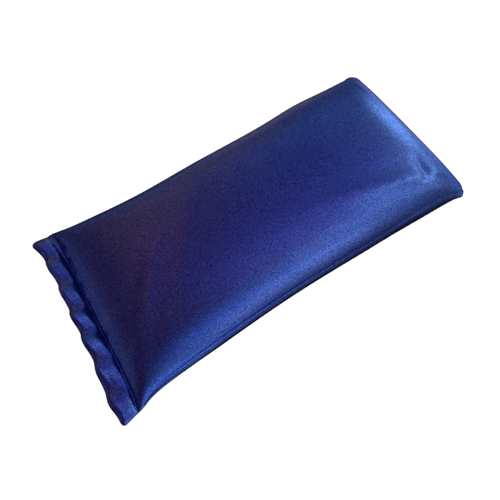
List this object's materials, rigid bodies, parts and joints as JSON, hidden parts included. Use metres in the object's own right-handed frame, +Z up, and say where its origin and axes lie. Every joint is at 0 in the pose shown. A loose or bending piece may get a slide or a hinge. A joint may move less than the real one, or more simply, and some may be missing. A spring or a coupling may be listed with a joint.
{
  "type": "eye pillow",
  "caption": "Rectangular satin eye pillow, softly filled with seeds, with a flat topstitched hem closing one end.",
  "frame": {"origin": "centre of the flat underside, the face that rests on a table or on the eyes", "axes": "+X along the pillow to the turned end, the topstitched hem is at -X, +Y across it, +Z up to the crown"},
  "size_m": [0.2185, 0.1032, 0.0225],
  "materials": {
    "satin": "royal blue satin weave with a soft sheen",
    "thread": "navy spun polyester sewing thread",
    "seed_fill": "loose brown flax seed with dried lavender buds"
  },
  "bodies": {
    "root": {"top_panel": "satin", "bottom_panel": "satin", "seed_fill": "seed_fill", "closing_needle_thread": "thread", "closing_bobbin_thread": "thread", "side_seam_needle_thread": "thread", "side_seam_bobbin_thread": "thread"}
  },
  "joints": []
}
